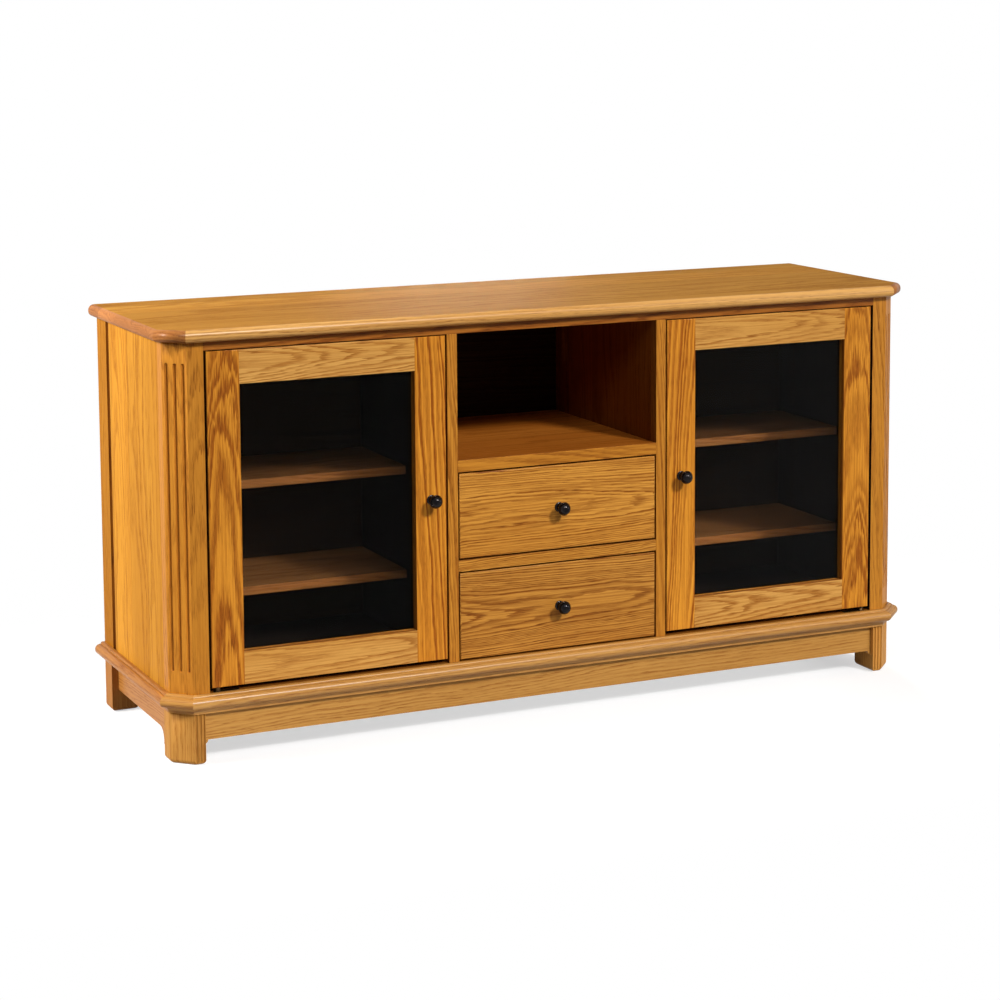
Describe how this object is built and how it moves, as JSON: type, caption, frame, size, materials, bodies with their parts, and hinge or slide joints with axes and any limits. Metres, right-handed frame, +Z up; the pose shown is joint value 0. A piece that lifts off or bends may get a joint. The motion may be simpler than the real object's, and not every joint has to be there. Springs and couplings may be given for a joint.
{
  "type": "media cabinet",
  "caption": "Low wooden media cabinet with clipped fluted corners, glazed side doors, an open centre compartment over slab-front drawers, round knobs and a moulded base on short feet.",
  "frame": {"origin": "middle of the underside of the cabinet's bounding box, on the floor", "axes": "+X across the cabinet to the right as seen from the front, +Y from front to back, +Z up"},
  "size_m": [1.5286, 0.472, 0.77],
  "materials": {
    "oak": "satin lacquered golden oak",
    "drawer_box_wood": "clear lacquered pale wood",
    "plywood": "dark stained plywood",
    "smoked_glass": "smoked, polished",
    "bronze": "dark bronze, satin",
    "zinc_steel": "zinc plated",
    "catch_plastic": "moulded brown plastic"
  },
  "bodies": {
    "cabinet": {"top_panel": "oak", "left_side_panel": "oak", "right_side_panel": "oak", "back_stiles": "oak", "left_corner_post": "oak", "right_corner_post": "oak", "top_rail": "oak", "bottom_rail": "oak", "mullions": "oak", "drawer_rail": "oak", "compartment_shelf": "oak", "front_left_foot": "oak", "front_right_foot": "oak", "rear_feet": "oak", "front_apron": "oak", "side_aprons": "oak", "front_base_moulding": "oak", "corner_base_mouldings": "oak", "side_base_mouldings": "oak", "partitions": "oak", "bottom_panel": "oak", "left_bay_shelves": "oak", "right_bay_shelves": "oak", "back_panel": "plywood", "back_panel_screws": "zinc_steel", "shelf_pegs": "zinc_steel", "hinge_case_leaves": "bronze", "door_catches": "catch_plastic", "slide_cabinet_members": "zinc_steel"},
    "left_door": {"left_door_hinge_stile": "oak", "left_door_knob_stile": "oak", "left_door_rails": "oak", "left_door_glass": "smoked_glass", "left_door_glass_stops": "oak", "left_door_knob": "bronze", "left_door_hinge_leaves": "bronze", "left_door_strike": "zinc_steel"},
    "right_door": {"right_door_hinge_stile": "oak", "right_door_knob_stile": "oak", "right_door_rails": "oak", "right_door_glass": "smoked_glass", "right_door_glass_stops": "oak", "right_door_knob": "bronze", "right_door_hinge_leaves": "bronze", "right_door_strike": "zinc_steel"},
    "upper_drawer": {"upper_drawer_front": "oak", "upper_drawer_sides": "drawer_box_wood", "upper_drawer_ends": "drawer_box_wood", "upper_drawer_floor": "drawer_box_wood", "upper_drawer_knob": "bronze", "upper_drawer_slide_members": "zinc_steel"},
    "lower_drawer": {"lower_drawer_front": "oak", "lower_drawer_sides": "drawer_box_wood", "lower_drawer_ends": "drawer_box_wood", "lower_drawer_floor": "drawer_box_wood", "lower_drawer_knob": "bronze", "lower_drawer_slide_members": "zinc_steel"},
    "upper_slide_middles": {"upper_slide_middle_members": "zinc_steel"},
    "lower_slide_middles": {"lower_slide_middle_members": "zinc_steel"}
  },
  "joints": [
    {"name": "left_door_hinge", "type": "hinge", "parent": "cabinet", "child": "left_door", "pos_m": [-0.6645, -0.195, 0.43], "axis": [0, 0, -1], "range_deg": [0, 110]},
    {"name": "right_door_hinge", "type": "hinge", "parent": "cabinet", "child": "right_door", "pos_m": [0.6645, -0.195, 0.43], "axis": [0, 0, 1], "range_deg": [0, 110]},
    {"name": "upper_drawer_slide", "type": "slide", "parent": "cabinet", "child": "upper_drawer", "axis": [0, -1, 0], "range_m": [0, 0.33]},
    {"name": "lower_drawer_slide", "type": "slide", "parent": "cabinet", "child": "lower_drawer", "axis": [0, -1, 0], "range_m": [0, 0.33]},
    {"name": "upper_middle_slide", "type": "slide", "parent": "cabinet", "child": "upper_slide_middles", "axis": [0, -1, 0], "range_m": [0, 0.165]},
    {"name": "lower_middle_slide", "type": "slide", "parent": "cabinet", "child": "lower_slide_middles", "axis": [0, -1, 0], "range_m": [0, 0.165]}
  ],
  "couplings": [
    {"joint": "upper_middle_slide", "follows": "upper_drawer_slide", "ratio": 0.5},
    {"joint": "lower_middle_slide", "follows": "lower_drawer_slide", "ratio": 0.5}
  ]
}
